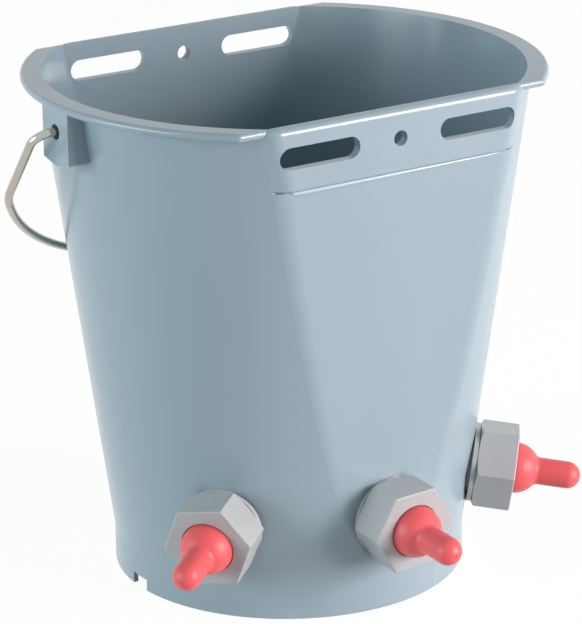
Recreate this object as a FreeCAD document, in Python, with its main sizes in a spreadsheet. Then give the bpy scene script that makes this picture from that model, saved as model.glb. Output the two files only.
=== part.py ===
"""Feeding bucket for calves: a flat-sided tub with a wire bail and three screwed-on teats.

The origin is the centre of the foot's ring on the ground, +Z is up, X runs along the two flats,
and the teats point away from the -Y flat. All sizes are millimetres and degrees.
"""
import FreeCAD, Part
import Sketcher
import math
import os
import re

from FreeCAD import Placement, Rotation, Vector

SIZES = {
    # Tub: a round wall that leans outwards, cut by two flats that lean a little less.
    "bucket_height": (265.0, "ground to the top of the rim"),
    "base_radius": (91.8, "outside of the foot ring"),
    "rim_radius": (125.0, "outside of the round wall at the rim"),
    "foot_height": (18.8, "upright foot ring below the leaning wall"),
    "wall": (2.6, "thickness of the tub's wall"),
    "floor_lift": (8.0, "ground to the underside of the floor"),
    "floor_thick": (3.0, "thickness of the floor"),
    "floor_round": (6.0, "radius between the floor and the wall inside"),
    "flat_inset": (23.1, "how far a flat lies inside the round wall at the rim"),
    "flat_start": (19.6, "height at which a flat begins on the round wall"),
    "crease_round": (14.0, "radius where a flat meets the round wall"),
    "notch_width": (13.0, "drain notch in the foot ring"),
    "notch_height": (6.0, "drain notch in the foot ring"),
    # Thick band along the top of each flat, with its slots and its hanging hole.
    "band_proud": (0.7, "band's face beyond the flat at the rim"),
    "band_thick": (4.8, "thickness of the band"),
    "band_drop": (32.5, "rim top to the step under the band"),
    "band_bevel": (1.4, "bevel along the step"),
    "band_round": (9.0, "radius at the band's ends"),
    "band_top_round": (3.4, "radius along the band's top"),
    "slot_near": (23.5, "middle of the flat to the near end of a slot"),
    "slot_reach": (1.0, "far end of a slot beyond the flat part of the band"),
    "slot_width": (11.0, "height of a slot"),
    "slot_drop": (15.2, "rim top to the middle of a slot"),
    "hang_hole_radius": (3.9, "hole between the two slots"),
    # Rim lip.
    "lip_overhang": (8.2, "lip beyond the round wall"),
    "lip_end_inset": (3.6, "cut ends of the lip behind the band's face"),
    "lip_thick": (4.2, "thickness of the lip"),
    "lip_round": (1.9, "radius on the lip's edges"),
    # Ears: boxes open below, hanging under the lip at both ends.
    "ear_half_width": (12.3, "half the width of an ear"),
    "ear_reach": (7.5, "ear's face beyond the round wall at the rim"),
    "ear_depth": (31.7, "rim top to the lowest point of an ear"),
    "ear_point": (2.5, "height of the point along the bottom of an ear"),
    "ear_bead": (0.9, "beads beyond an ear's sides, along its front corners"),
    "ear_bead_width": (3.4, "width of the beads"),
    "ear_wall": (2.7, "thickness of an ear's walls"),
    "pivot_drop": (14.4, "rim top to the bail's pivot"),
    "pivot_hole_radius": (3.9, "hole in an ear's face"),
    # Bail of round wire.
    "wire_radius": (2.2, "radius of the bail's wire"),
    "bail_reach": (18.2, "legs of the bail beyond the round wall at the rim"),
    "bail_depth": (151.5, "pivot to the middle of the bail"),
    "bail_bow": (149.3, "radius of the bail's long bow"),
    "bail_shoulder": (42.0, "radius between a leg and the bow"),
    "bail_elbow": (8.0, "radius at the top of a leg"),
    "leg_lean": (6.0, "inward lean of a leg, degrees"),
    "hook_bend": (3.0, "radius of the hooked end behind an ear's face"),
    "hook_length": (5.4, "pivot to the tip of the hooked end"),
    "hook_gap": (1.1, "hooked end to the back of the ear's face"),
    "bail_rest_gap": (0.3, "bail to the wall it leans on"),
    # Teat stations, measured along each station's own axis from the wall's outer face.
    "station_height": (51.0, "height at which a station's axis meets the wall"),
    "station_spread": (52.7, "angle from the middle station to an outer one, degrees"),
    "thread_radius": (15.5, "outside of the threaded spigot"),
    "spigot_bore": (11.0, "radius of the bore through the spigot"),
    "hole_clearance": (0.25, "spigot in the wall's hole, radial"),
    "thread_clearance": (0.25, "union nut on the spigot, radial"),
    "face_clearance": (0.05, "between faces that are clamped together"),
    "flange_radius": (21.0, "flange of the spigot inside the tub"),
    "flange_thick": (3.0, "flange of the spigot inside the tub"),
    "gasket_depth": (7.6, "wall's outer face to the flange"),
    "collar_radius": (20.7, "clamping collar outside the wall"),
    "collar_thick": (2.4, "clamping collar outside the wall"),
    "nut_flats": (40.7, "union nut across its flats"),
    "nut_length": (20.3, "length of the union nut"),
    "nut_gap": (0.3, "union nut to the collar"),
    "nut_lip": (3.2, "thickness of the union nut's front lip"),
    "nut_chamfer": (1.3, "chamfer on the union nut's rear corners, along its length"),
    "nut_edge": (0.7, "rounding on the union nut's front edge"),
    "left_nut_turn": (9.1, "left union nut's stop against its collar, degrees"),
    "middle_nut_turn": (2.1, "middle union nut's stop against its collar, degrees"),
    "right_nut_turn": (54.8, "right union nut's stop against its collar, degrees"),
    "teat_clearance": (0.45, "teat in the union nut's mouth, radial"),
    "teat_bulb": (13.3, "radius of the teat's bulb"),
    "teat_stem": (7.1, "radius of the teat's stem"),
    "teat_neck": (3.5, "radius between the bulb and the stem"),
    "teat_length": (34.7, "union nut's face to the tip of the teat"),
    "teat_wall": (2.3, "thickness of the teat's rubber"),
    "teat_flange": (2.5, "thickness of the teat's clamped flange"),
    "teat_orifice": (0.4, "radius of the opening in the teat's tip"),
    # Ball valve inside each spigot.
    "cage_clearance": (0.3, "valve cage in the spigot's bore, radial"),
    "cage_wall": (2.1, "thickness of the cage's tube"),
    "cage_flange": (1.4, "thickness of the cage's flange"),
    "cage_bar": (1.8, "width and depth of the cross bars"),
    "cage_floor": (1.5, "thickness of the cage's inner end"),
    "valve_port": (4.5, "radius of the port under the ball"),
    "ball_radius": (6.4, "valve ball"),
    "ball_gap": (0.3, "ball to its cage and to its port"),
    "ball_travel": (2.4, "ball's way from the cross bars to its port"),
}

doc = FreeCAD.newDocument("FeedingBucket")
sheet = doc.addObject("Spreadsheet::Sheet", "Sizes")
for row, (alias, (value, note)) in enumerate(SIZES.items(), start=1):
    sheet.set(f"A{row}", alias)
    sheet.set(f"B{row}", str(value))
    sheet.setAlias(f"B{row}", alias)
    sheet.set(f"C{row}", note)
doc.recompute()


# Helpers ---------------------------------------------------------------------------------------

def cells(text):
    """A formula with each size's name turned into its cell in the sheet."""
    return re.sub(r"[a-z_]+", lambda word: f"Sizes.{word[0]}" if word[0] in SIZES else word[0], str(text))


def number(text):
    """The present value of a formula, in millimetres or degrees."""
    return float(sheet.evalExpression(cells(text)))


def bind(thing, **formulas):
    """Bind properties of an object to formulas. A double underscore in a name stands for a dot."""
    for name, formula in formulas.items():
        thing.setExpression(name.replace("__", "."), cells(formula))
    return thing


def origin_plane(body, role):
    """One of a body's own origin planes."""
    return next(plane for plane in body.Origin.OriginFeatures if plane.Role == role)


def hold(sketch, constraint, formula):
    """Add a constraint and bind its value to a formula."""
    index = sketch.addConstraint(constraint)
    sketch.setExpression(f"Constraints[{index}]", cells(formula))


def hold_point(sketch, edge, end, x, y):
    """Fix the end of an edge by its distances from the sketch's origin."""
    for axis, formula, line in (("X", x, -2), ("Y", y, -1)):
        if formula == 0:
            sketch.addConstraint(Sketcher.Constraint("PointOnObject", edge, end, line))
        else:
            value = number(formula)
            hold(sketch, Sketcher.Constraint("Distance" + axis, -1, 1, edge, end, value), formula)


def new_sketch(name, body=None, role="XZ_Plane"):
    """A sketch on an origin plane of a body, or on the same plane of the document."""
    if body is None:
        sketch = doc.addObject("Sketcher::SketchObject", name)
        turns = {
            "XY_Plane": Rotation(),
            "XZ_Plane": Rotation(Vector(1, 0, 0), 90),
            "YZ_Plane": Rotation(Vector(1, 1, 1), 120),
        }
        sketch.Placement = Placement(Vector(), turns[role])
        return sketch
    sketch = body.newObject("Sketcher::SketchObject", name)
    sketch.AttachmentSupport = [(origin_plane(body, role), "")]
    sketch.MapMode = "FlatFace"
    return sketch


def outline(sketch, corners):
    """Draw a closed outline. A corner is (x, y), or (x, y, radius, turn) where an arc leaves it:
    turn is 1 for an arc that bends left on its way to the next corner and -1 for one that bends right.
    A half circle joins two corners that lie one above the other."""
    points = [Vector(number(corner[0]), number(corner[1]), 0) for corner in corners]
    ends = []
    half_circles = []
    for index, corner in enumerate(corners):
        start = points[index]
        finish = points[(index + 1) % len(corners)]
        if len(corner) == 2:
            edge = sketch.addGeometry(Part.LineSegment(start, finish))
            ends.append((edge, 1, 2))
            continue
        radius = number(corner[2])
        turn = corner[3]
        chord = finish - start
        rise = math.sqrt(max(radius ** 2 - chord.Length ** 2 / 4, 0.0))
        side = Vector(-chord.y, chord.x, 0).normalize() * turn
        centre = (start + finish) / 2 + side * rise
        angles = [math.atan2(point.y - centre.y, point.x - centre.x) for point in (start, finish)]
        if turn < 0:
            angles.reverse()
        circle = Part.Circle(centre, Vector(0, 0, 1), radius)
        edge = sketch.addGeometry(Part.ArcOfCircle(circle, *angles))
        ends.append((edge, 1, 2) if turn > 0 else (edge, 2, 1))
        if rise < 0.001:
            half_circles.append(edge)
    for index, (edge, _, leave) in enumerate(ends):
        after, enter, _ = ends[(index + 1) % len(ends)]
        sketch.addConstraint(Sketcher.Constraint("Coincident", edge, leave, after, enter))
    for (edge, enter, _), corner in zip(ends, corners):
        hold_point(sketch, edge, enter, corner[0], corner[1])
        if edge in half_circles:
            sketch.addConstraint(Sketcher.Constraint("Vertical", edge, 3, edge, enter))
        elif len(corner) == 4:
            hold(sketch, Sketcher.Constraint("Radius", edge, number(corner[2])), corner[2])


def rectangle(sketch, left, bottom, right, top):
    """Draw a closed rectangle."""
    outline(sketch, [(left, bottom), (right, bottom), (right, top), (left, top)])


def combine(kind, label, first, second):
    """A cut or common of two objects of the document."""
    result = doc.addObject(kind, label)
    result.Base = first
    result.Tool = second
    return result


def fuse(label, shapes):
    """One solid from several objects of the document."""
    result = doc.addObject("Part::MultiFuse", label)
    result.Shapes = shapes
    result.Refine = True
    return result


def turned(label, corners):
    """A solid of revolution about +Z from an outline of (radius, height) corners."""
    sketch = new_sketch(label + "_outline")
    outline(sketch, corners)
    solid = doc.addObject("Part::Revolution", label)
    solid.Source = sketch
    solid.Axis = Vector(0, 0, 1)
    solid.Base = Vector(0, 0, 0)
    solid.Angle = 360
    solid.Solid = True
    return solid


def extruded(label, sketch, formula, both_ways=False):
    """A sketch pushed along its own normal, by half the length each way if both_ways."""
    solid = doc.addObject("Part::Extrusion", label)
    solid.Base = sketch
    solid.DirMode = "Normal"
    solid.Solid = True
    solid.Symmetric = both_ways
    return bind(solid, LengthFwd=formula)


def rounded(label, base, formula, wanted):
    """Round the edges of a solid that the test picks."""
    doc.recompute()
    radius = number(formula)
    picked = [index for index, edge in enumerate(base.Shape.Edges, start=1) if wanted(edge)]
    result = doc.addObject("Part::Fillet", label)
    result.Base = base
    result.Edges = [(index, radius, radius) for index in picked]
    return result


# Tub -------------------------------------------------------------------------------------------

def wall_radius(height):
    """Outside of the round wall at a height above the foot ring."""
    lean = "(rim_radius - base_radius) / (bucket_height - foot_height)"
    return f"(base_radius + {lean} * ({height} - foot_height))"


def flat_half(height):
    """Middle of the tub to the outside of a flat at a height."""
    start = wall_radius("flat_start")
    lean = f"(rim_radius - flat_inset - {start}) / (bucket_height - flat_start)"
    return f"({start} + {lean} * ({height} - flat_start))"


def is_crease(edge):
    """True for the long curved edge between a flat and the round wall."""
    tall = edge.BoundBox.ZLength > number("band_drop") / 2
    return tall and not isinstance(edge.Curve, Part.Line)


def flat_sided(label, inset, bottom, top, crease):
    """The round, leaning solid of the tub with both flats cut, all moved inwards by an inset."""
    round_solid = turned(label + "_round", [
        (0, bottom),
        (f"base_radius - {inset}", bottom),
        (f"base_radius - {inset}", "foot_height"),
        (f"{wall_radius(top)} - {inset}", top),
        (0, top),
    ])
    low = f"({flat_half('foot_height')} - {inset})"
    high = f"({flat_half(top)} - {inset})"
    slab_outline = new_sketch(label + "_slab_outline", role="YZ_Plane")
    outline(slab_outline, [
        (f"-{low}", "-1"),
        (low, "-1"),
        (low, "foot_height"),
        (high, top),
        (f"-{high}", top),
        (f"-{low}", "foot_height"),
    ])
    slab = extruded(label + "_slab", slab_outline, "4 * rim_radius", both_ways=True)
    sharp = combine("Part::Common", label + "_sharp", round_solid, slab)
    return rounded(label, sharp, crease, is_crease)


SLOT_HEIGHT = "(bucket_height - slot_drop)"
PIVOT_HEIGHT = "(bucket_height - pivot_drop)"
BAND_HALF = "(rim_radius - flat_inset + band_proud)"
BAND_INNER = f"({BAND_HALF} - band_thick)"
BAND_STEP = "(bucket_height - band_drop)"


def block(label, low, high):
    """A box between two corners given as formulas."""
    sketch = new_sketch(label + "_outline", role="XY_Plane")
    rectangle(sketch, low[0], low[1], high[0], high[1])
    bind(sketch, Placement__Base__z=low[2])
    return extruded(label, sketch, f"({high[2]}) - ({low[2]})")


def rod(label, radius, length, placement):
    """A cylinder along its placement's own Z."""
    cylinder = doc.addObject("Part::Cylinder", label)
    bind(cylinder, Radius=radius, Height=length)
    cylinder.Placement = placement
    return cylinder


def make_bands(round_solid):
    """The thick bands along the tops of both flats, rounded along their tops and bevelled below."""
    reach = "(rim_radius + 1)"
    slab = block("band_slab", (f"-{reach}", f"-{BAND_HALF}", BAND_STEP), (reach, BAND_HALF, "bucket_height"))
    sharp = combine("Part::Common", "band_sharp", round_solid, slab)
    ends = rounded("band_ends", sharp, "band_round", is_crease)
    top = number("bucket_height")
    bottom = number(BAND_STEP)

    def along_flat(edge):
        return edge.BoundBox.YLength < 0.01

    soft = rounded("band_topped", ends, "band_top_round",
                   lambda edge: along_flat(edge) and edge.BoundBox.ZMin > top - 0.01)
    doc.recompute()
    bevel = number("band_bevel")
    picked = [
        index for index, edge in enumerate(soft.Shape.Edges, start=1)
        if along_flat(edge) and edge.BoundBox.ZMax < bottom + 0.01
    ]
    bevelled = doc.addObject("Part::Chamfer", "band_bevelled")
    bevelled.Base = soft
    bevelled.Edges = [(index, bevel, bevel) for index in picked]
    gap = block("band_gap", (f"-{reach}", f"-{BAND_INNER}", f"{BAND_STEP} - 1"),
                (reach, BAND_INNER, "bucket_height + 1"))
    return combine("Part::Cut", "bands", bevelled, gap)


def make_band_room():
    """Cutter that clears the tub's wall from the places of both bands."""
    reach = "(rim_radius + 1)"
    above = "bucket_height + 1"
    front = block("front_band_room", (f"-{reach}", f"-{reach}", BAND_STEP), (reach, f"-{BAND_INNER}", above))
    rear = block("rear_band_room", (f"-{reach}", BAND_INNER, BAND_STEP), (reach, reach, above))
    return fuse("band_room", [front, rear])


def make_lip():
    """The disc whose edge becomes the rim's lip, cut off where the bands begin."""
    bottom = "(bucket_height - lip_thick)"
    disc = rod("lip_disc", "rim_radius + lip_overhang", "lip_thick", Placement())
    bind(disc, Placement__Base__z=bottom)
    reach = "(rim_radius + lip_overhang + 1)"
    half = f"({BAND_HALF} - lip_end_inset)"
    slab = block("lip_slab", (f"-{reach}", f"-{half}", f"{bottom} - 1"), (reach, half, "bucket_height + 1"))
    sharp = combine("Part::Common", "lip_sharp", disc, slab)
    return rounded("lip", sharp, "lip_round", lambda edge: edge.BoundBox.YMax > 1 or edge.BoundBox.YMin < -1)


def make_ear(label, side):
    """A box under the lip at one end of the tub, open below, with beaded corners and a pointed bottom."""
    sketch = new_sketch(label + "_outline", role="XY_Plane")
    bind(sketch, Placement__Base__z="bucket_height - ear_depth")
    sign = "-" if side < 0 else ""
    face = f"{sign}(rim_radius + ear_reach)"
    bead = f"{sign}(rim_radius + ear_reach - ear_bead_width)"
    back = f"{sign}(rim_radius + ear_reach - ear_wall)"
    root = f"{sign}({wall_radius('(bucket_height - ear_depth)')} - wall)"
    outer = "(ear_half_width - ear_bead)"
    inner = f"({outer} - ear_wall)"
    outline(sketch, [
        (face, "-ear_half_width"),
        (face, "ear_half_width"),
        (bead, "ear_half_width"),
        (bead, outer),
        (root, outer),
        (root, inner),
        (back, inner),
        (back, f"-{inner}"),
        (root, f"-{inner}"),
        (root, f"-{outer}"),
        (bead, f"-{outer}"),
        (bead, "-ear_half_width"),
    ])
    return extruded(label, sketch, "ear_depth - lip_thick / 2")


def make_ear_trim():
    """Cutter that leaves a blunt point along the bottom of each ear."""
    sketch = new_sketch("ear_trim_outline", role="YZ_Plane")
    wide = "(2 * ear_half_width)"
    tip = "(bucket_height - ear_depth)"
    outline(sketch, [
        (f"-{wide}", f"{tip} - 1"),
        (wide, f"{tip} - 1"),
        (wide, f"{tip} + 2 * ear_point"),
        (0, tip),
        (f"-{wide}", f"{tip} + 2 * ear_point"),
    ])
    return extruded("ear_trim", sketch, "4 * rim_radius", both_ways=True)


def make_slots():
    """Cutter for the slots and the hanging holes of both flats."""
    radius = "(slot_width / 2)"
    wall_here = wall_radius(SLOT_HEIGHT)
    near = f"(slot_near + {radius})"
    far = f"(sqrt({wall_here}^2 - {BAND_HALF}^2) + slot_reach - {radius})"
    sketch = new_sketch("slots_outline")
    bottom = f"({SLOT_HEIGHT} - {radius})"
    top = f"({SLOT_HEIGHT} + {radius})"
    outline(sketch, [(near, bottom), (far, bottom, radius, 1), (far, top), (near, top, radius, 1)])
    outline(sketch, [
        (f"-{far}", bottom), (f"-{near}", bottom, radius, 1), (f"-{near}", top), (f"-{far}", top, radius, 1),
    ])
    height = number(SLOT_HEIGHT)
    hole = sketch.addGeometry(Part.Circle(Vector(0, height, 0), Vector(0, 0, 1), number("hang_hole_radius")))
    hold_point(sketch, hole, 3, 0, SLOT_HEIGHT)
    hold(sketch, Sketcher.Constraint("Radius", hole, number("hang_hole_radius")), "hang_hole_radius")
    return extruded("slots", sketch, "4 * rim_radius", both_ways=True)


def station_frame(side):
    """Placement of a station: local Z leaves the wall at a right angle, local X lies level."""
    height = number("station_height")
    spread = math.radians(number("station_spread")) * side
    surface = wall_radius if side else flat_half
    reach = number(surface("station_height"))
    lean = math.atan(number(surface("(station_height + 1)")) - reach)
    turn = spread - math.pi / 2
    outward = Vector(math.cos(turn) * math.cos(lean), math.sin(turn) * math.cos(lean), -math.sin(lean))
    level = Vector(-math.sin(turn), math.cos(turn), 0)
    base = Vector(reach * math.cos(turn), reach * math.sin(turn), height)
    return Placement(base, Rotation(level, outward.cross(level), outward, "ZXY"))


STATIONS = {"left": station_frame(-1), "middle": station_frame(0), "right": station_frame(1)}


def make_tub():
    """Tub with its lip, slotted bands, ears, foot ring and station holes."""
    shell = flat_sided("tub_outside", 0, 0, "bucket_height", "crease_round")
    above = "(bucket_height + 1)"
    floor = "(floor_lift + floor_thick)"
    hollow = flat_sided("tub_inside", "wall", floor, above, "crease_round - wall")
    floor_height = number(floor)
    cavity = rounded("tub_cavity", hollow, "floor_round",
                     lambda edge: edge.BoundBox.ZMax < floor_height + 0.01)
    bands = make_bands(doc.getObject("tub_outside_round"))
    below_bands = combine("Part::Cut", "tub_below_bands", shell, make_band_room())
    ears = fuse("untrimmed_ears", [make_ear("left_ear", -1), make_ear("right_ear", 1)])
    trimmed_ears = combine("Part::Cut", "ears", ears, make_ear_trim())
    solid = fuse("tub_solid", [below_bands, make_lip(), trimmed_ears])
    hollowed = combine("Part::Cut", "tub_hollowed", solid, cavity)
    banded = fuse("tub_banded", [hollowed, bands])
    recess = rod("foot_recess", "base_radius - wall", "floor_lift + 1", Placement(Vector(0, 0, -1), Rotation()))
    notch = block("foot_notch", ("-base_radius - 1", "-notch_width / 2", "-1"),
                  ("base_radius + 1", "notch_width / 2", "notch_height"))
    cutters = [recess, notch, make_slots()]
    reach = number("rim_radius + ear_reach")
    for name, start in (("left", -reach - 1), ("right", reach - number("ear_wall") - 1)):
        frame = Placement(Vector(start, 0, 0), Rotation(Vector(0, 1, 0), 90))
        hole = rod(name + "_pivot_hole", "pivot_hole_radius", "ear_wall + 2", frame)
        bind(hole, Placement__Base__z=PIVOT_HEIGHT)
        cutters.append(hole)
    for name, frame in STATIONS.items():
        inside = frame.multiply(Placement(Vector(0, 0, -number("gasket_depth")), Rotation()))
        cutters.append(rod(name + "_wall_hole", "thread_radius + hole_clearance", "2 * gasket_depth", inside))
    return combine("Part::Cut", "bucket_body", banded, fuse("tub_cutters", cutters)), cavity


# Bail ------------------------------------------------------------------------------------------

def bail_rest_angle():
    """Angle from straight down at which the bow lies against the rear of the tub, in degrees."""
    foot, lean = number(wall_radius("0")), number(wall_radius("1")) - number(wall_radius("0"))
    flat_foot, flat_lean = number(flat_half("0")), number(flat_half("1")) - number(flat_half("0"))
    pivot, bow, depth = number(PIVOT_HEIGHT), number("bail_bow"), number("bail_depth")
    reach = number("wire_radius + bail_rest_gap")
    samples = 200

    def room(angle):
        """Smallest distance from the bow's surface to the tub, less the gap."""
        smallest = bow
        for step in range(samples):
            x = 0.9 * bow * step / samples
            drop = depth - bow + math.sqrt(bow ** 2 - x ** 2)
            y = drop * math.sin(angle)
            z = pivot - drop * math.cos(angle)
            from_round = (math.hypot(x, y) - foot - lean * z) / math.hypot(1, lean)
            from_flat = (y - flat_foot - flat_lean * z) / math.hypot(1, flat_lean)
            smallest = min(smallest, max(from_round, from_flat) - reach)
        return smallest

    low, high = math.radians(10), math.radians(85)
    for _ in range(40):
        middle = (low + high) / 2
        low, high = (low, middle) if room(middle) > 0 else (middle, high)
    return math.degrees(high)


def make_bail():
    """Bail of one wire: hooked ends, elbows, leaning legs and a long bow. It leans on the tub's rear."""
    body = doc.addObject("PartDesign::Body", "bail_handle")
    path = new_sketch("bail_path", body)
    hook = number("rim_radius + ear_reach - ear_wall - hook_gap - wire_radius")
    bend = number("hook_bend")
    elbow = number("bail_elbow")
    shoulder = number("bail_shoulder")
    bow = number("bail_bow")
    depth = number("bail_depth")
    lean = math.radians(number("leg_lean"))
    tip = Vector(-hook, number("hook_length"), 0)
    hook_start = Vector(-hook, bend, 0)
    hook_centre = Vector(-hook - bend, bend, 0)
    elbow_centre = Vector(-number("rim_radius + bail_reach") + elbow, -elbow, 0)
    elbow_end = elbow_centre + Vector(-math.cos(lean), -math.sin(lean), 0) * elbow
    along_leg = Vector(math.sin(lean), -math.cos(lean), 0)
    inward = Vector(math.cos(lean), math.sin(lean), 0)
    bow_centre = Vector(0, bow - depth, 0)
    # The shoulder's centre lies one shoulder radius inside the leg and inside the bow.
    from_bow = elbow_end + inward * shoulder - bow_centre
    half = from_bow.dot(along_leg)
    leg = -half + math.sqrt(half ** 2 - from_bow.Length ** 2 + (bow - shoulder) ** 2)
    leg_end = elbow_end + along_leg * leg
    shoulder_centre = leg_end + inward * shoulder
    outward = (shoulder_centre - bow_centre).normalize()
    shoulder_end = bow_centre + outward * bow

    def arc(centre, radius, start, finish):
        angles = [math.atan2(point.y - centre.y, point.x - centre.x) % math.tau for point in (start, finish)]
        return path.addGeometry(Part.ArcOfCircle(Part.Circle(centre, Vector(0, 0, 1), radius), *angles))

    down = path.addGeometry(Part.LineSegment(tip, hook_start))
    bent = arc(hook_centre, bend, Vector(-hook - bend, 0, 0), hook_start)
    out = path.addGeometry(Part.LineSegment(Vector(-hook - bend, 0, 0), Vector(elbow_centre.x, 0, 0)))
    corner = arc(elbow_centre, elbow, Vector(elbow_centre.x, 0, 0), elbow_end)
    straight = path.addGeometry(Part.LineSegment(elbow_end, leg_end))
    shoulder_arc = arc(shoulder_centre, shoulder, leg_end, shoulder_end)
    bow_arc = arc(bow_centre, bow, shoulder_end, Vector(0, -depth, 0))
    chain = [(down, 1, 2), (bent, 2, 1), (out, 1, 2), (corner, 1, 2), (straight, 1, 2),
             (shoulder_arc, 1, 2), (bow_arc, 1, 2)]
    for (edge, _, leave), (after, enter, _) in zip(chain, chain[1:]):
        path.addConstraint(Sketcher.Constraint("Tangent", edge, leave, after, enter))
    path.addConstraint(Sketcher.Constraint("Vertical", down))
    path.addConstraint(Sketcher.Constraint("Horizontal", out))
    path.addConstraint(Sketcher.Constraint("PointOnObject", out, 1, -1))
    path.addConstraint(Sketcher.Constraint("PointOnObject", bow_arc, 3, -2))
    path.addConstraint(Sketcher.Constraint("PointOnObject", bow_arc, 2, -2))
    hook_x = "-(rim_radius + ear_reach - ear_wall - hook_gap - wire_radius)"
    elbow_x = "-(rim_radius + bail_reach - bail_elbow)"
    distances = (
        ("DistanceX", (-1, 1, down, 1), hook_x),
        ("DistanceY", (-1, 1, down, 1), "hook_length"),
        ("DistanceX", (-1, 1, corner, 3), elbow_x),
        ("DistanceY", (-1, 1, bow_arc, 2), "-bail_depth"),
        ("Radius", (bent,), "hook_bend"),
        ("Radius", (corner,), "bail_elbow"),
        ("Radius", (shoulder_arc,), "bail_shoulder"),
        ("Radius", (bow_arc,), "bail_bow"),
    )
    for kind, places, formula in distances:
        hold(path, Sketcher.Constraint(kind, *places, number(formula)), formula)
    down_the_leg = math.atan2(along_leg.y, along_leg.x)
    hold(path, Sketcher.Constraint("Angle", straight, down_the_leg), "(leg_lean - 90) * 1deg")

    section = new_sketch("bail_section", body, "XY_Plane")
    bind(section, AttachmentOffset__Base__x=hook_x, AttachmentOffset__Base__z="hook_length")
    wire = section.addGeometry(Part.Circle(Vector(), Vector(0, 0, 1), number("wire_radius")))
    section.addConstraint(Sketcher.Constraint("Coincident", wire, 3, -1, 1))
    hold(section, Sketcher.Constraint("Radius", wire, number("wire_radius")), "wire_radius")
    doc.recompute()
    pipe = body.newObject("PartDesign::AdditivePipe", "bail_half")
    pipe.Profile = section
    pipe.Spine = (path, [f"Edge{index}" for index in range(1, len(chain) + 1)])
    mirrored = body.newObject("PartDesign::Mirrored", "bail_whole")
    mirrored.Originals = [pipe]
    mirrored.MirrorPlane = (origin_plane(body, "YZ_Plane"), [""])
    body.Tip = mirrored
    pivot = Vector(0, 0, number(PIVOT_HEIGHT))
    body.Placement = Placement(pivot, Rotation(Vector(1, 0, 0), bail_rest_angle()))
    return body


# Teat stations ---------------------------------------------------------------------------------
# Heights are measured outwards from the wall along a station's axis.

NUT_BACK = "(face_clearance + collar_thick + nut_gap)"
NUT_FRONT = f"({NUT_BACK} + nut_length)"
TEAT_SEAT = f"({NUT_FRONT} - nut_lip - face_clearance - teat_flange)"
CAGE_FRONT = f"({TEAT_SEAT} - face_clearance)"
CAGE_SEAT = f"({CAGE_FRONT} - cage_flange)"
SPIGOT_END = f"({CAGE_SEAT} - face_clearance)"
BALL_CENTRE = f"({CAGE_FRONT} - cage_bar - ball_gap - ball_radius)"
PORT_HEIGHT = f"({BALL_CENTRE} - ball_travel - ball_gap - sqrt(ball_radius^2 - valve_port^2))"


def turned_body(label, frame, corners):
    """A body turned about its own Z from an outline of (radius, height) corners."""
    body = doc.addObject("PartDesign::Body", label)
    sketch = new_sketch(label + "_outline", body)
    outline(sketch, corners)
    solid = body.newObject("PartDesign::Revolution", label + "_turned")
    solid.Profile = sketch
    solid.ReferenceAxis = (sketch, ["V_Axis"])
    solid.Angle = 360
    body.Placement = frame
    return body


def groove(body, label, corners):
    """Cut a turned recess about the body's own Z."""
    sketch = new_sketch(label + "_outline", body)
    outline(sketch, corners)
    cut = body.newObject("PartDesign::Groove", label)
    cut.Profile = sketch
    cut.ReferenceAxis = (sketch, ["V_Axis"])
    cut.Angle = 360
    return cut


def pad(body, label, corners, start, length):
    """Push a flat outline along the body's own Z, from a height."""
    sketch = new_sketch(label + "_outline", body, "XY_Plane")
    bind(sketch, AttachmentOffset__Base__z=start)
    outline(sketch, corners)
    solid = body.newObject("PartDesign::Pad", label)
    solid.Profile = sketch
    return bind(solid, Length=length)


def make_spigot(name, frame):
    """Threaded spigot with a flange inside the tub."""
    back = "-(gasket_depth + flange_thick)"
    return turned_body(name + "_spigot", frame, [
        ("spigot_bore", back),
        ("flange_radius", back),
        ("flange_radius", "-gasket_depth"),
        ("thread_radius", "-gasket_depth"),
        ("thread_radius", SPIGOT_END),
        ("spigot_bore", SPIGOT_END),
    ])


def make_gasket(name, frame, cavity):
    """Rubber ring between the flange and the wall; its front takes the wall's shape."""
    back = Placement(Vector(0, 0, -number("gasket_depth - face_clearance")), Rotation())
    seat = frame.multiply(back)
    disc = rod(name + "_gasket_disc", "flange_radius - wall / 2", "gasket_depth", seat)
    bore = rod(name + "_gasket_bore", "thread_radius + hole_clearance", "gasket_depth", seat)
    ring = combine("Part::Cut", name + "_gasket_ring", disc, bore)
    return combine("Part::Common", name + "_gasket", ring, cavity)


def make_collar(name, frame):
    """Clamping collar on the spigot outside the wall."""
    return turned_body(name + "_collar", frame, [
        ("thread_radius + thread_clearance", "face_clearance"),
        ("collar_radius", "face_clearance"),
        ("collar_radius", "face_clearance + collar_thick"),
        ("thread_radius + thread_clearance", "face_clearance + collar_thick"),
    ])


def make_cage(name, frame):
    """Valve cage in the spigot: a tube with a port, a clamped flange and cross bars."""
    outside = "(spigot_bore - cage_clearance)"
    inside = f"({outside} - cage_wall)"
    back = f"({PORT_HEIGHT} - cage_floor)"
    body = turned_body(name + "_valve_cage", frame, [
        ("valve_port", back),
        (outside, back),
        (outside, CAGE_SEAT),
        ("thread_radius", CAGE_SEAT),
        ("thread_radius", CAGE_FRONT),
        (inside, CAGE_FRONT),
        (inside, PORT_HEIGHT),
        ("valve_port", PORT_HEIGHT),
    ])
    arm = f"({inside} + cage_wall / 2)"
    half = "(cage_bar / 2)"
    pad(body, name + "_cage_bars", [
        (arm, f"-{half}"), (arm, half), (half, half), (half, arm), (f"-{half}", arm), (f"-{half}", half),
        (f"-{arm}", half), (f"-{arm}", f"-{half}"), (f"-{half}", f"-{half}"), (f"-{half}", f"-{arm}"),
        (half, f"-{arm}"), (half, f"-{half}"),
    ], f"{CAGE_FRONT} - cage_bar", "cage_bar")
    return body


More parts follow.
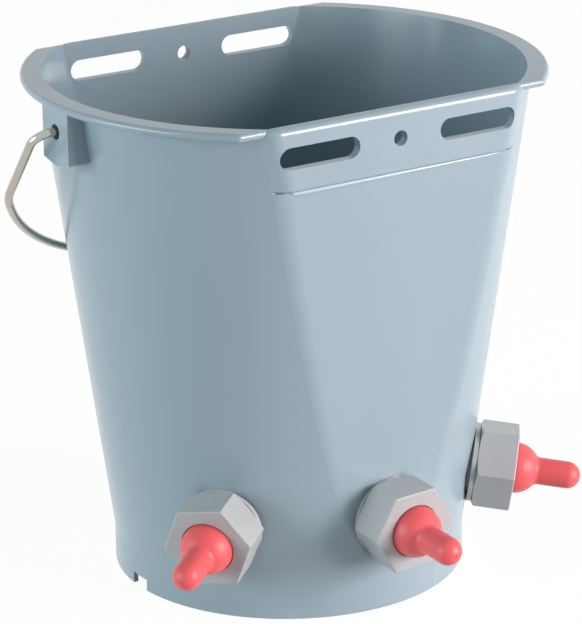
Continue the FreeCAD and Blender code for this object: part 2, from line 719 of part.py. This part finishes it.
def make_ball(name, frame):
    """Valve ball, lying against the cross bars."""
    ball = doc.addObject("Part::Sphere", name + "_valve_ball")
    bind(ball, Radius="ball_radius")
    ball.Placement = frame.multiply(Placement(Vector(0, 0, number(BALL_CENTRE)), Rotation()))
    return ball


def make_teat(name, frame):
    """Hollow rubber teat: clamped flange, round bulb, rounded neck and a stem with a domed tip."""
    bulb_inside = "(teat_bulb - teat_wall)"
    stem_inside = "(teat_stem - teat_wall)"
    neck_radius = "(teat_stem + teat_neck)"
    neck_rise = f"sqrt((teat_bulb + teat_neck)^2 - {neck_radius}^2)"
    share = "teat_bulb / (teat_bulb + teat_neck)"
    dome = f"({NUT_FRONT} + teat_length - teat_stem)"
    flange_front = f"({TEAT_SEAT} + teat_flange)"
    return turned_body(name + "_teat", frame, [
        (bulb_inside, TEAT_SEAT),
        ("thread_radius", TEAT_SEAT),
        ("thread_radius", flange_front),
        ("teat_bulb", flange_front),
        ("teat_bulb", NUT_FRONT, "teat_bulb", 1),
        (f"{neck_radius} * {share}", f"{NUT_FRONT} + {neck_rise} * {share}", "teat_neck", -1),
        ("teat_stem", f"{NUT_FRONT} + {neck_rise}"),
        ("teat_stem", dome, "teat_stem", 1),
        ("teat_orifice", f"{dome} + sqrt(teat_stem^2 - teat_orifice^2)"),
        ("teat_orifice", f"{dome} + teat_wall"),
        (stem_inside, f"{dome} + teat_wall"),
        (stem_inside, f"{NUT_FRONT} + sqrt({bulb_inside}^2 - {stem_inside}^2)", bulb_inside, -1),
        (bulb_inside, NUT_FRONT),
    ])


def make_nut(name, frame):
    """Hexagonal union nut with an inner lip that clamps the teat's flange."""
    body = doc.addObject("PartDesign::Body", name + "_union_nut")
    corner = "(nut_flats / sqrt(3))"
    half = "(nut_flats / 2)"
    hexagon = [
        (corner, 0), (f"{corner} / 2", half), (f"-{corner} / 2", half),
        (f"-{corner}", 0), (f"-{corner} / 2", f"-{half}"), (f"{corner} / 2", f"-{half}"),
    ]
    pad(body, name + "_hexagon", hexagon, NUT_BACK, "nut_length")
    edge_reach = f"({half} + 2 * ({corner} - {half}))"
    groove(body, name + "_rear_chamfer", [
        (half, NUT_BACK), (edge_reach, NUT_BACK), (edge_reach, f"{NUT_BACK} + 2 * nut_chamfer"),
    ])
    bore = "(thread_radius + thread_clearance)"
    mouth = "(teat_bulb + teat_clearance)"
    shoulder = f"({NUT_FRONT} - nut_lip)"
    groove(body, name + "_nut_bore", [
        (0, f"{NUT_BACK} - 1"), (bore, f"{NUT_BACK} - 1"), (bore, shoulder),
        (mouth, shoulder), (mouth, f"{NUT_FRONT} + 1"), (0, f"{NUT_FRONT} + 1"),
    ])
    doc.recompute()
    front = number(NUT_FRONT)
    sharp = body.Tip
    edges = [
        f"Edge{index}" for index, edge in enumerate(sharp.Shape.Edges, start=1)
        if edge.BoundBox.ZMin > front - 0.01 and isinstance(edge.Curve, Part.Line)
    ]
    softened = body.newObject("PartDesign::Fillet", name + "_front_edges")
    softened.Base = (sharp, edges)
    bind(softened, Radius="nut_edge")
    stop = Rotation(Vector(0, 0, 1), number(name + "_nut_turn"))
    body.Placement = frame.multiply(Placement(Vector(), stop))
    return body


# Assembly --------------------------------------------------------------------------------------

tub, tub_cavity = make_tub()
nodes = [tub, make_bail()]
for station, placement in STATIONS.items():
    nodes += [
        make_spigot(station, placement),
        make_gasket(station, placement, tub_cavity),
        make_collar(station, placement),
        make_cage(station, placement),
        make_ball(station, placement),
        make_teat(station, placement),
        make_nut(station, placement),
    ]
doc.recompute()

for item in doc.Objects:
    if "Invalid" in item.State or "Error" in item.State:
        raise RuntimeError(f"{item.Label} could not be built: {item.State}")
os.makedirs("parts", exist_ok=True)
for node in nodes:
    if node.Shape.isNull() or not node.Shape.isValid() or node.Shape.Volume <= 0:
        raise RuntimeError(f"{node.Label} has no valid shape")
    node.Shape.exportStep(os.path.join("parts", node.Label + ".step"))
    print(f"{node.Label}: {len(node.Shape.Solids)} solid, {node.Shape.Volume / 1000:.2f} cm3")
print(f"bail hangs {bail_rest_angle():.3f} degrees from straight down")
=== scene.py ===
"""Calf feeding bucket with three teats: materials, fine detail, light and camera around the CAD frame."""
import math

import bmesh
import bpy
from mathutils import Matrix, Vector


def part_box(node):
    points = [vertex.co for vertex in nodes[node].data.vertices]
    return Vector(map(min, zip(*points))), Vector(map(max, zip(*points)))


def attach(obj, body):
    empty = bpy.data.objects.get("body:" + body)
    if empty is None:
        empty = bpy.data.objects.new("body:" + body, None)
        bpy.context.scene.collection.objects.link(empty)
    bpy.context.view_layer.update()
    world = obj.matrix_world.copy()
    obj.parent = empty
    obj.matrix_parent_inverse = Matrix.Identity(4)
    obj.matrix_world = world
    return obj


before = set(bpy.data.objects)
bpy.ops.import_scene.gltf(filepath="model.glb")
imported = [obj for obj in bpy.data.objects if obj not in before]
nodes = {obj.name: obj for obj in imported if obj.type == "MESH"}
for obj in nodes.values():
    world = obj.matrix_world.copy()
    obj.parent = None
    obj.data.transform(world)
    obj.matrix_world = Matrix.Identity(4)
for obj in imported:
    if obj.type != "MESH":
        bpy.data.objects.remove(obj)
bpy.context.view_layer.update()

STATIONS = ("left", "middle", "right")


# Camera ----------------------------------------------------------------------------------------

# Angles in degrees, lengths in metres, the lens in millimetres.
CAMERA_AZIMUTH = -32.97
CAMERA_ELEVATION = 19.13
CAMERA_ROLL = -0.522
CAMERA_DISTANCE = 1.6425
CAMERA_LENS = 182.85
CAMERA_CLIP_END = 20
CAMERA_AIM_SHIFT = Vector((0.0018, -0.0014, -0.0003))


def middle_of(node):
    """Middle of a CAD node's box."""
    low, high = (Vector(corner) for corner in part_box(node))
    return (low + high) / 2


def make_camera():
    """Camera aimed at the middle of the tub from the front left."""
    data = bpy.data.cameras.new("camera")
    data.lens = CAMERA_LENS
    data.clip_end = CAMERA_CLIP_END
    camera = bpy.data.objects.new("camera", data)
    bpy.context.scene.collection.objects.link(camera)
    azimuth, elevation = math.radians(CAMERA_AZIMUTH), math.radians(CAMERA_ELEVATION)
    forward = Vector((
        -math.sin(azimuth) * math.cos(elevation),
        math.cos(azimuth) * math.cos(elevation),
        -math.sin(elevation),
    ))
    level = forward.to_track_quat("-Z", "Y").to_matrix()
    turned = level @ Matrix.Rotation(math.radians(CAMERA_ROLL), 3, "Z")
    low, high = (Vector(corner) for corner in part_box("bucket_body"))
    aim = Vector((0, 0, (low.z + high.z) / 2)) + CAMERA_AIM_SHIFT
    camera.matrix_world = Matrix.Translation(aim - forward * CAMERA_DISTANCE) @ turned.to_4x4()
    bpy.context.scene.camera = camera


# Materials -------------------------------------------------------------------------------------

SCUFF_HEIGHT = 0.05
CLOUD_DETAIL = 4.0
PEBBLE_DETAIL = 2.0


class NodeTree:
    """Short calls for the nodes of a material or a world."""

    def __init__(self, owner):
        owner.use_nodes = True
        self.tree = owner.node_tree

    def add(self, kind, **values):
        """A new node, with its inputs or its settings given by name."""
        node = self.tree.nodes.new(kind)
        for key, value in values.items():
            if key in node.inputs:
                node.inputs[key].default_value = value
            else:
                setattr(node, key, value)
        return node

    def link(self, source, target):
        self.tree.links.new(source, target)

    def place(self, scale):
        """Object coordinates, stretched by a scale per axis."""
        mapping = self.add("ShaderNodeMapping", Scale=scale)
        self.link(self.add("ShaderNodeTexCoord").outputs["Object"], mapping.inputs["Vector"])
        return mapping.outputs["Vector"]

    def noise(self, scale, detail, stretch=(1, 1, 1), distortion=0.0):
        """Solid noise in object coordinates, so many waves to the metre."""
        texture = self.add("ShaderNodeTexNoise", Scale=scale, Detail=detail, Distortion=distortion)
        self.link(self.place(stretch), texture.inputs["Vector"])
        return texture.outputs["Fac"]

    def ramp(self, factor, low, high, start=0.3, end=0.7):
        """A factor that goes from low at start to high at end."""
        remap = self.add("ShaderNodeMapRange", **{
            "From Min": start, "From Max": end, "To Min": low, "To Max": high,
        })
        self.link(factor, remap.inputs["Value"])
        return remap.outputs["Result"]

    def tint(self, factor, first, second):
        """A colour between two, by a factor."""
        mix = self.add("ShaderNodeMix", data_type="RGBA")
        self.link(factor, mix.inputs["Factor"])
        mix.inputs["A"].default_value = (*first, 1)
        mix.inputs["B"].default_value = (*second, 1)
        return mix.outputs["Result"]

    def blend(self, factor, colour, target):
        """A linked colour mixed towards a plain one, by a factor."""
        mix = self.add("ShaderNodeMix", data_type="RGBA")
        self.link(factor, mix.inputs["Factor"])
        self.link(colour, mix.inputs["A"])
        mix.inputs["B"].default_value = (*target, 1)
        return mix.outputs["Result"]

    def multiply(self, first, second):
        """The product of two linked factors."""
        product = self.add("ShaderNodeMath", operation="MULTIPLY")
        self.link(first, product.inputs[0])
        self.link(second, product.inputs[1])
        return product.outputs["Value"]

    def is_seen(self):
        """1 for rays that show the background itself: camera, glossy and transmitted ones."""
        path = self.add("ShaderNodeLightPath")
        total = path.outputs["Is Camera Ray"]
        for name in ("Is Glossy Ray", "Is Transmission Ray"):
            either = self.add("ShaderNodeMath", operation="MAXIMUM")
            self.link(total, either.inputs[0])
            self.link(path.outputs[name], either.inputs[1])
            total = either.outputs["Value"]
        return total


class Finish(NodeTree):
    """A material's nodes around its Principled shader."""

    def __init__(self, name):
        self.material = bpy.data.materials.new(name)
        super().__init__(self.material)
        self.surface = self.tree.nodes["Principled BSDF"]

    def bump(self, height, strength, distance):
        bump = self.add("ShaderNodeBump", Strength=strength, Distance=distance)
        self.link(height, bump.inputs["Height"])
        self.link(bump.outputs["Normal"], self.surface.inputs["Normal"])

    def feed(self, socket, value):
        self.link(value, self.surface.inputs[socket])


def tub_plastic():
    """Satin blue-grey moulding: faint flow clouds, scuffs near the ground, uneven gloss, fine pebble."""
    finish = Finish("tub_plastic")
    clouds = finish.ramp(finish.noise(7.0, 5.0, (1, 1, 0.6), 0.4), 0.0, 1.0, 0.35, 0.65)
    plain = finish.tint(clouds, (0.300, 0.392, 0.452), (0.326, 0.414, 0.472))
    height = finish.add("ShaderNodeSeparateXYZ")
    finish.link(finish.place((1, 1, 1)), height.inputs["Vector"])
    near_ground = finish.ramp(height.outputs["Z"], 1.0, 0.0, 0.0, SCUFF_HEIGHT)
    scuffs = finish.ramp(finish.noise(55.0, 8.0, (1, 1, 0.35), 1.5), 0.0, 0.45, 0.60, 0.72)
    scuffed = finish.blend(finish.multiply(near_ground, scuffs), plain, (0.42, 0.50, 0.55))
    finish.feed("Base Color", scuffed)
    finish.feed("Roughness", finish.ramp(finish.noise(38.0, 5.0), 0.17, 0.26))
    finish.surface.inputs["Specular IOR Level"].default_value = 0.55
    finish.bump(finish.noise(160.0, 3.0), 0.05, 0.0008)
    return finish.material


def zinc_wire():
    """Bright zinc plating with the yellow and pink sheen of its passivation."""
    finish = Finish("zinc_wire")
    sheen = finish.ramp(finish.noise(45.0, 3.0, (1, 1, 1), 0.8), 0.0, 1.0, 0.35, 0.65)
    plating = finish.tint(sheen, (0.50, 0.46, 0.33), (0.48, 0.42, 0.40))
    bare = finish.ramp(finish.noise(70.0, 5.0), 0.0, 0.9, 0.42, 0.62)
    finish.feed("Base Color", finish.blend(bare, plating, (0.42, 0.45, 0.44)))
    finish.feed("Roughness", finish.ramp(finish.noise(260.0, 4.0), 0.10, 0.24))
    finish.surface.inputs["Metallic"].default_value = 1.0
    finish.bump(finish.noise(500.0, 3.0), 0.12, 0.0004)
    return finish.material


def mottled(name, clouds, colours, gloss, roughness, pebble, strength, distance):
    """A small part's finish: two close colours in clouds, uneven gloss and a fine pebble.

    clouds, gloss and pebble are the scales of the three noises.
    """
    finish = Finish(name)
    factor = finish.ramp(finish.noise(clouds, CLOUD_DETAIL), 0.0, 1.0)
    finish.feed("Base Color", finish.tint(factor, *colours))
    finish.feed("Roughness", finish.ramp(finish.noise(gloss, CLOUD_DETAIL), *roughness))
    finish.bump(finish.noise(pebble, PEBBLE_DETAIL), strength, distance)
    return finish


def fitting_plastic():
    """Light grey moulding of the spigots, collars and union nuts."""
    colours = ((0.445, 0.460, 0.470), (0.475, 0.490, 0.500))
    return mottled("fitting_plastic", 40.0, colours, 120.0, (0.26, 0.38), 900.0, 0.15, 0.0004).material


def gasket_rubber():
    """Black rubber washer."""
    colours = ((0.012, 0.012, 0.013), (0.022, 0.022, 0.023))
    return mottled("gasket_rubber", 80.0, colours, 200.0, (0.55, 0.75), 900.0, 0.2, 0.0004).material


def cage_plastic():
    """Uncoloured plastic of the valve cages."""
    colours = ((0.72, 0.72, 0.69), (0.78, 0.78, 0.75))
    return mottled("cage_plastic", 60.0, colours, 160.0, (0.35, 0.5), 900.0, 0.12, 0.0003).material


def ball_steel():
    """Polished stainless ball."""
    colours = ((0.60, 0.61, 0.62), (0.68, 0.69, 0.70))
    finish = mottled("ball_steel", 120.0, colours, 300.0, (0.10, 0.22), 1200.0, 0.1, 0.0002)
    finish.surface.inputs["Metallic"].default_value = 1.0
    return finish.material


def teat_rubber():
    """Satin coral rubber that light enters a little."""
    colours = ((0.84, 0.108, 0.118), (0.87, 0.128, 0.138))
    finish = mottled("teat_rubber", 60.0, colours, 150.0, (0.38, 0.50), 700.0, 0.12, 0.0004)
    finish.surface.inputs["Subsurface Weight"].default_value = 0.15
    finish.surface.inputs["Subsurface Radius"].default_value = (0.004, 0.001, 0.001)
    finish.surface.inputs["Subsurface Scale"].default_value = 1.0
    return finish.material


def give(node, material):
    """Give a CAD node its material in every slot."""
    mesh = nodes[node].data
    if not mesh.materials:
        mesh.materials.append(material)
    for slot in nodes[node].material_slots:
        slot.material = material


# Step beads ------------------------------------------------------------------------------------

# BAND_DROP is from the rim to the band's lower edge, and BAND_STEP from the band's face to the flat's.
BAND_DROP = 0.0325
BAND_STEP = 0.00204
BEAD_REACH = 0.0635
BEAD_TALL = 0.0028
BEAD_TALL_AT_END = 0.0010
BEAD_PROUD = 0.00016
BEAD_ROOT = 0.0008
BEAD_RINGS = 36
BEAD_SIDES = 8
BEAD_END_SHARPNESS = 14
BEAD_END_LEAST = 0.0004
BEAD_CREST = 1.7


def make_step_bead(name, turned, material):
    """Low bead under the band of one flat, tallest at its left end seen from in front of the flat.

    The rear one is turned half round. Both share the tub's material.
    """
    low, high = (Vector(corner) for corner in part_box("bucket_body"))
    face, top = low.y + BAND_STEP, high.z - BAND_DROP
    shape = bmesh.new()
    rings = []
    for step in range(BEAD_RINGS + 1):
        along = step / BEAD_RINGS
        swell = math.sqrt(max(BEAD_END_LEAST, 1 - abs(2 * along - 1) ** BEAD_END_SHARPNESS))
        tall = (BEAD_TALL + (BEAD_TALL_AT_END - BEAD_TALL) * along) * swell
        x = BEAD_REACH * (2 * along - 1)
        ring = [shape.verts.new((x, face + BEAD_ROOT, top))]
        for side in range(BEAD_SIDES + 1):
            down = side / BEAD_SIDES
            proud = BEAD_PROUD * swell * math.sin(math.pi * down ** BEAD_CREST)
            ring.append(shape.verts.new((x, face - proud, top - tall * down)))
        ring.append(shape.verts.new((x, face + BEAD_ROOT, top - tall)))
        rings.append(ring)
    for ring, following in zip(rings, rings[1:]):
        for index in range(len(ring)):
            after = (index + 1) % len(ring)
            shape.faces.new((ring[index], ring[after], following[after], following[index]))
    shape.faces.new(rings[0])
    shape.faces.new(rings[-1])
    if turned:
        bmesh.ops.rotate(shape, matrix=Matrix.Rotation(math.pi, 3, "Z"), verts=shape.verts)
    bmesh.ops.recalc_face_normals(shape, faces=shape.faces)
    for surface in shape.faces:
        surface.smooth = True
    mesh = bpy.data.meshes.new(name)
    shape.to_mesh(mesh)
    shape.free()
    mesh.materials.append(material)
    bead = bpy.data.objects.new(name, mesh)
    bpy.context.scene.collection.objects.link(bead)
    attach(bead, "bucket")


def paint_nodes():
    """Materials of the CAD nodes, and the two beads."""
    tub = tub_plastic()
    give("bucket_body", tub)
    make_step_bead("front_step_bead", False, tub)
    make_step_bead("rear_step_bead", True, tub)
    give("bail_handle", zinc_wire())
    finishes = {
        "spigot": fitting_plastic(),
        "gasket": gasket_rubber(),
        "valve_cage": cage_plastic(),
        "valve_ball": ball_steel(),
        "teat": teat_rubber(),
    }
    finishes["collar"] = finishes["union_nut"] = finishes["spigot"]
    for station in STATIONS:
        for part, material in finishes.items():
            give(f"{station}_{part}", material)


# Studio ----------------------------------------------------------------------------------------

FLOOR_RADIUS = 6.0
FLOOR_SIDES = 64
FLOOR_GREY = (0.60, 0.60, 0.60, 1)
FLOOR_ROUGHNESS = 0.9
FLOOR_GLOW = 1.10
FLOOR_GLOW_SHARE = 0.85

# The sky's light falls from the horizon's level to the one overhead between these two heights of
# its direction, and to a share of it as the direction's part along the dim side rises.
SKY_COLOUR = (0.85, 0.99, 1.0)
SEEN_COLOUR = (1.0, 1.0, 1.0)
SKY_AT_HORIZON = 0.72
SKY_OVERHEAD = 0.24
SKY_FALL = (0.05, 0.75)
DIM_AZIMUTH = -50
DIM_SHARE = 0.10
DIM_EDGE = (0.50, 0.86)

# Name, azimuth and elevation in degrees, distance and size in metres, watts and colour.
LAMPS = (
    ("key_light", 34, 11, 2.2, 1.0, 54, (1.0, 0.915, 0.905)),
    ("fill_light", -98, 8, 2.2, 1.4, 35, (0.88, 0.985, 1.0)),
)


def make_floor():
    """White floor that keeps a soft shadow."""
    mesh = bpy.data.meshes.new("floor")
    corners = [(math.cos(turn) * FLOOR_RADIUS, math.sin(turn) * FLOOR_RADIUS, 0.0)
               for turn in (math.tau * step / FLOOR_SIDES for step in range(FLOOR_SIDES))]
    mesh.from_pydata(corners, [], [range(FLOOR_SIDES)])
    floor = bpy.data.objects.new("floor", mesh)
    bpy.context.scene.collection.objects.link(floor)
    finish = Finish("floor_white")
    finish.surface.inputs["Base Color"].default_value = FLOOR_GREY
    finish.surface.inputs["Roughness"].default_value = FLOOR_ROUGHNESS
    glow = finish.add("ShaderNodeEmission", Color=(1, 1, 1, 1), Strength=FLOOR_GLOW)
    mix = finish.add("ShaderNodeMixShader")
    share = finish.add("ShaderNodeMath", operation="MULTIPLY")
    share.inputs[1].default_value = FLOOR_GLOW_SHARE
    finish.link(finish.is_seen(), share.inputs[0])
    finish.link(share.outputs["Value"], mix.inputs[0])
    finish.link(finish.surface.outputs["BSDF"], mix.inputs[1])
    finish.link(glow.outputs["Emission"], mix.inputs[2])
    finish.link(mix.outputs["Shader"], finish.tree.nodes["Material Output"].inputs["Surface"])
    mesh.materials.append(finish.material)


def make_world():
    """Surround that is white where it is seen, and as a light is dimmer overhead and on one side."""
    world = bpy.data.worlds.new("studio")
    bpy.context.scene.world = world
    sky = NodeTree(world)
    background = sky.tree.nodes["Background"]
    direction = sky.add("ShaderNodeTexCoord").outputs["Generated"]
    parts = sky.add("ShaderNodeSeparateXYZ")
    sky.link(direction, parts.inputs["Vector"])
    by_height = sky.ramp(parts.outputs["Z"], SKY_AT_HORIZON, SKY_OVERHEAD, *SKY_FALL)
    turn = math.radians(DIM_AZIMUTH)
    towards = sky.add("ShaderNodeVectorMath", operation="DOT_PRODUCT")
    sky.link(direction, towards.inputs[0])
    towards.inputs[1].default_value = (math.sin(turn), -math.cos(turn), 0)
    by_side = sky.ramp(towards.outputs["Value"], 1.0, DIM_SHARE, *DIM_EDGE)
    seen = sky.is_seen()
    sky.link(sky.tint(seen, SKY_COLOUR, SEEN_COLOUR), background.inputs["Color"])
    strength = sky.add("ShaderNodeMix", data_type="FLOAT")
    sky.link(seen, strength.inputs["Factor"])
    sky.link(sky.multiply(by_height, by_side), strength.inputs["A"])
    strength.inputs["B"].default_value = 1.0
    sky.link(strength.outputs["Result"], background.inputs["Strength"])


def make_lamp(name, azimuth, elevation, distance, size, watts, colour):
    """A square area lamp aimed at the middle of the tub. Azimuth 0 is in front of the -Y flat."""
    data = bpy.data.lights.new(name, "AREA")
    data.size = size
    data.energy = watts
    data.color = colour
    lamp = bpy.data.objects.new(name, data)
    bpy.context.scene.collection.objects.link(lamp)
    turn, rise = math.radians(azimuth), math.radians(elevation)
    away = Vector((math.sin(turn) * math.cos(rise), -math.cos(turn) * math.cos(rise), math.sin(rise)))
    aim = middle_of("bucket_body")
    facing = away.to_track_quat("Z", "Y").to_matrix().to_4x4()
    lamp.matrix_world = Matrix.Translation(aim + away * distance) @ facing


make_camera()
paint_nodes()
make_floor()
make_world()
for lamp in LAMPS:
    make_lamp(*lamp)
bpy.context.scene.view_settings.view_transform = "Standard"
